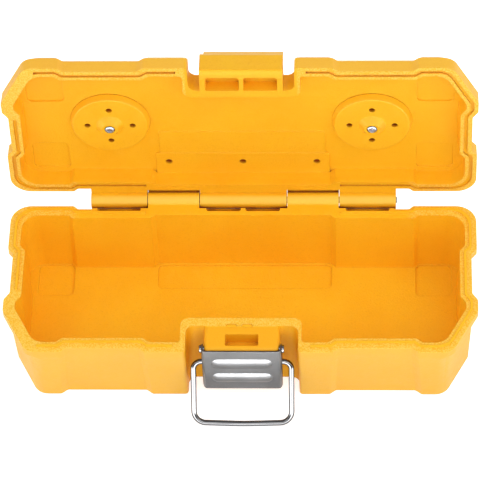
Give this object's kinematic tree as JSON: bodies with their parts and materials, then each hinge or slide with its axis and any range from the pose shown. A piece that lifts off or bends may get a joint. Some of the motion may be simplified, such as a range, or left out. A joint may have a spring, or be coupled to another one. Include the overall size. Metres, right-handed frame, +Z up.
{
  "type": "drill bit case",
  "caption": "Wide shallow tool bit case, shown open, with a pinned hinge behind, a sheet metal draw latch with a wire bail in front, and turning discs in the lid.",
  "frame": {"origin": "middle of the base's underside", "axes": "+X to the right along the case, +Y to the back where the hinge is, +Z up; stored open, as in the picture"},
  "size_m": [0.274, 0.1548, 0.1616],
  "materials": {
    "base_plastic": "fine grained moulding",
    "lid_plastic": "fine grained moulding",
    "disc_plastic": "fine grained moulding",
    "lever_steel": "satin, nickel plated",
    "wire": "bright plated",
    "pin_steel": "bright drawn",
    "screw_zinc": "blue zinc"
  },
  "bodies": {
    "base": {"base_shell": "base_plastic", "hinge_pin": "pin_steel", "lever_pin": "pin_steel"},
    "lid": {"lid_shell": "lid_plastic", "left_disc_screw": "screw_zinc", "right_disc_screw": "screw_zinc"},
    "lever": {"latch_lever": "lever_steel"},
    "bail": {"latch_bail": "wire"},
    "left_disc": {"left_disc": "disc_plastic"},
    "right_disc": {"right_disc": "disc_plastic"}
  },
  "joints": [
    {"name": "lid_hinge", "type": "hinge", "parent": "base", "child": "lid", "pos_m": [0, 0.0599, 0.04765], "axis": [-1, 0, 0], "range_deg": [-90, 0]},
    {"name": "lever_pivot", "type": "hinge", "parent": "base", "child": "lever", "pos_m": [0.00165, -0.0496, 0.046], "axis": [-1, 0, 0], "range_deg": [0, 90]},
    {"name": "bail_pivot", "type": "hinge", "parent": "lever", "child": "bail", "pos_m": [0.00165, -0.0492, 0.0336], "axis": [1, 0, 0], "range_deg": [-162.4, 0]},
    {"name": "left_disc_turn", "type": "hinge", "parent": "lid", "child": "left_disc", "pos_m": [-0.076, 0.067, 0.10495], "axis": [0, -1, 0], "continuous": true},
    {"name": "right_disc_turn", "type": "hinge", "parent": "lid", "child": "right_disc", "pos_m": [0.076, 0.067, 0.10495], "axis": [0, -1, 0], "continuous": true}
  ]
}
